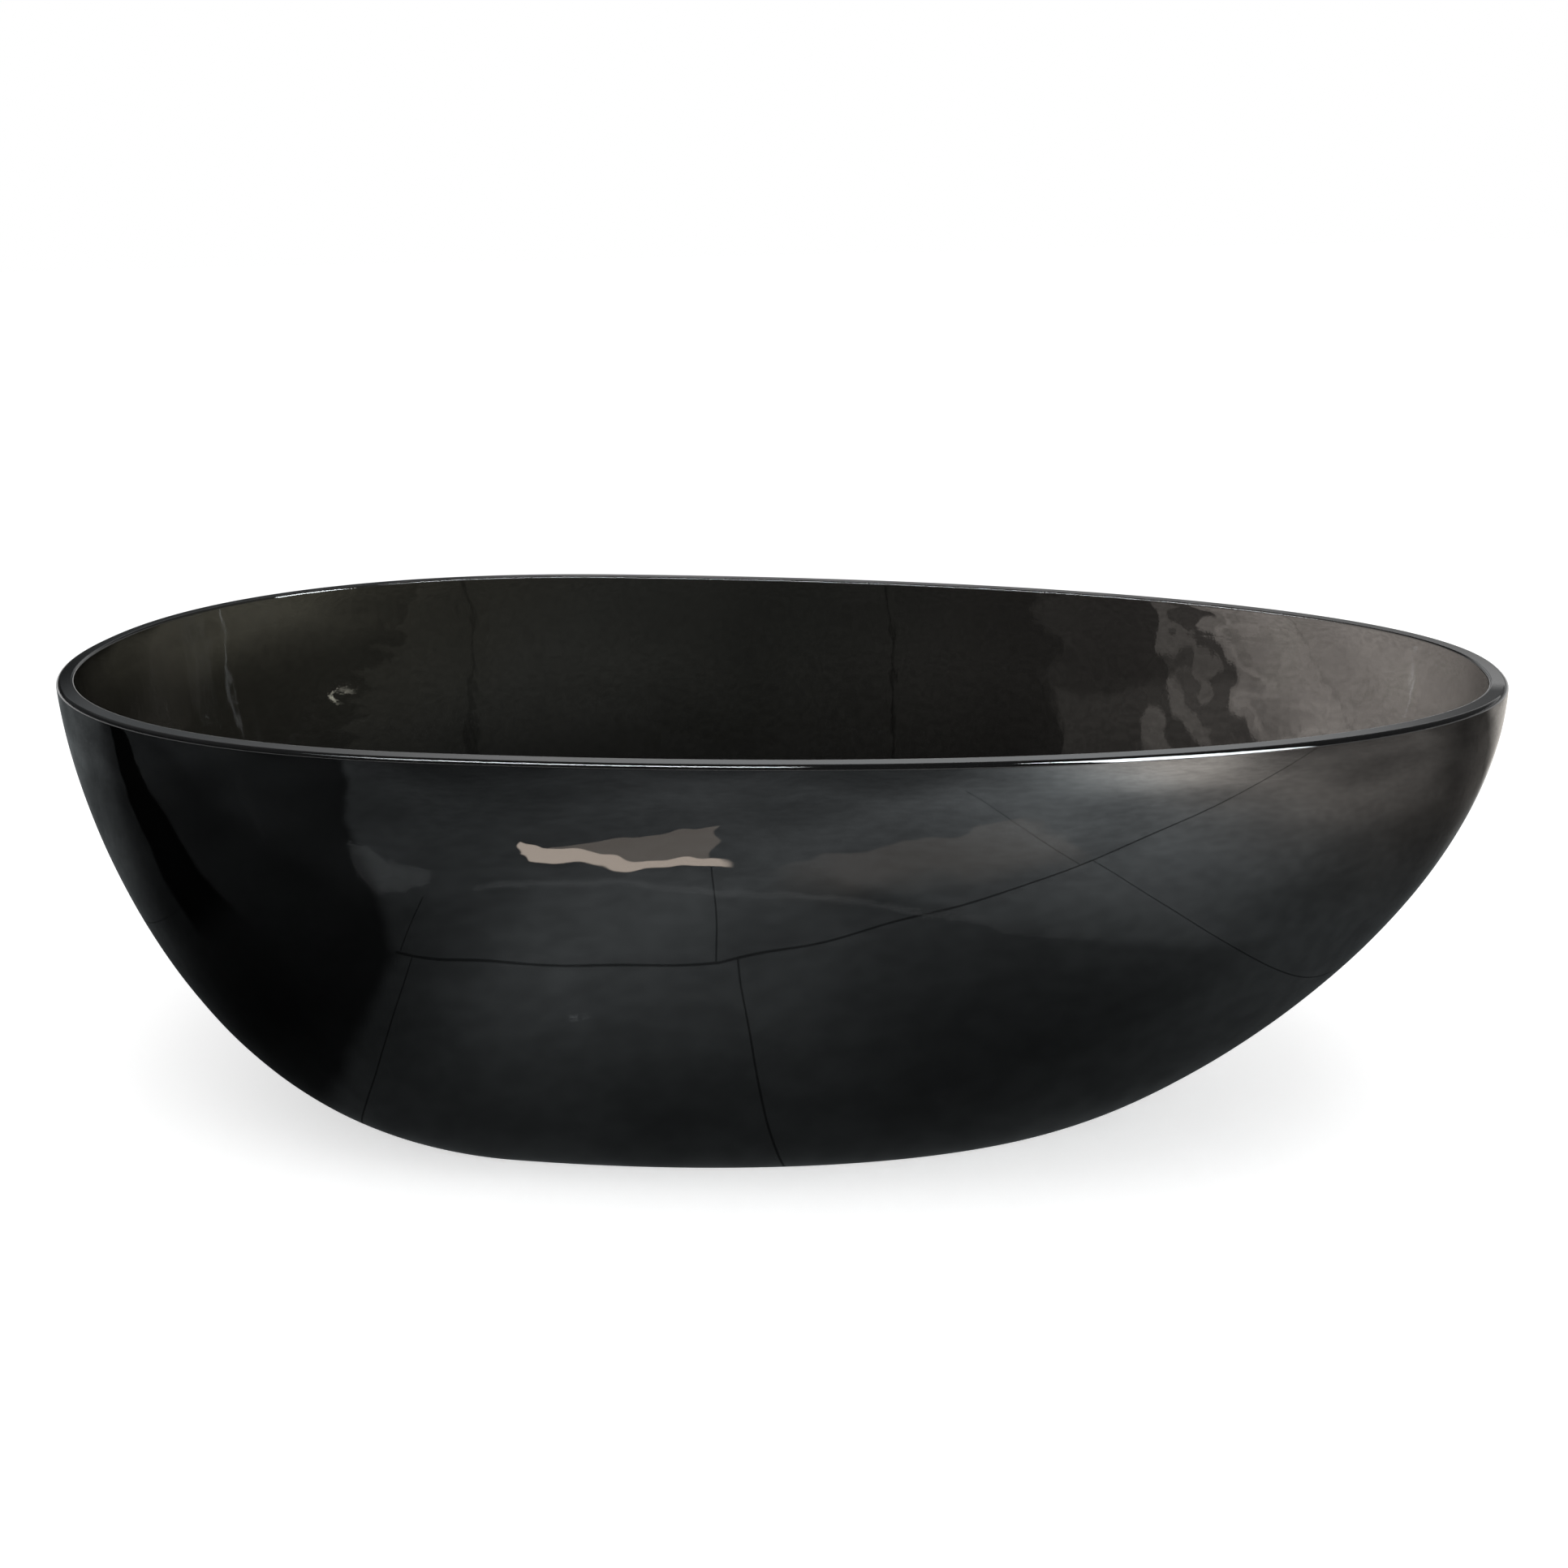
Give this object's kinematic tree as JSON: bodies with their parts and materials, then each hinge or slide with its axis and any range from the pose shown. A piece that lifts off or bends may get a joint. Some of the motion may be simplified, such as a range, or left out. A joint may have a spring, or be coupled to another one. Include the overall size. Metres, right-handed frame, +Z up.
{
  "type": "freestanding bathtub",
  "caption": "Freestanding egg-shaped bathtub in smoked translucent resin, with one sloping end, a flat rim and a click-clack waste in its floor.",
  "frame": {"origin": "on the ground, under the middle of the tub's length and width", "axes": "+X along the tub towards its sloping head end, +Y across it, +Z up"},
  "size_m": [1.7007, 0.8002, 0.57],
  "materials": {
    "smoked_resin": "polished smoked translucent resin",
    "chrome_plate": "polished chrome plate over brass",
    "raw_brass": "turned brass",
    "black_rubber": "matte moulded rubber",
    "nylon": "natural nylon",
    "acetal": "white acetal",
    "spring_steel": "drawn stainless wire"
  },
  "bodies": {
    "tub": {"tub_shell": "smoked_resin", "waste_body": "chrome_plate", "flange_gasket": "black_rubber", "floor_gasket": "black_rubber", "slip_washer": "nylon", "back_nut": "raw_brass", "latch_sleeve": "raw_brass", "latch_collar": "raw_brass", "latch_spring": "spring_steel"},
    "plug": {"plug_cap": "chrome_plate", "plug_seal": "black_rubber", "latch_plunger": "acetal"},
    "rotor": {"latch_rotor": "acetal"}
  },
  "joints": [
    {"name": "plug_lift", "type": "slide", "parent": "tub", "child": "plug", "axis": [0, 0, 1], "range_m": [0, 0.009], "deforming": ["latch_spring"]},
    {"name": "rotor_turn", "type": "hinge", "parent": "plug", "child": "rotor", "pos_m": [-0.25, 0, 0.05], "axis": [0, 0, 1], "range_deg": [0, 45]}
  ],
  "couplings": [
    {"joint": "rotor_turn", "follows": "plug_lift", "rad_per_m": 87.26}
  ]
}
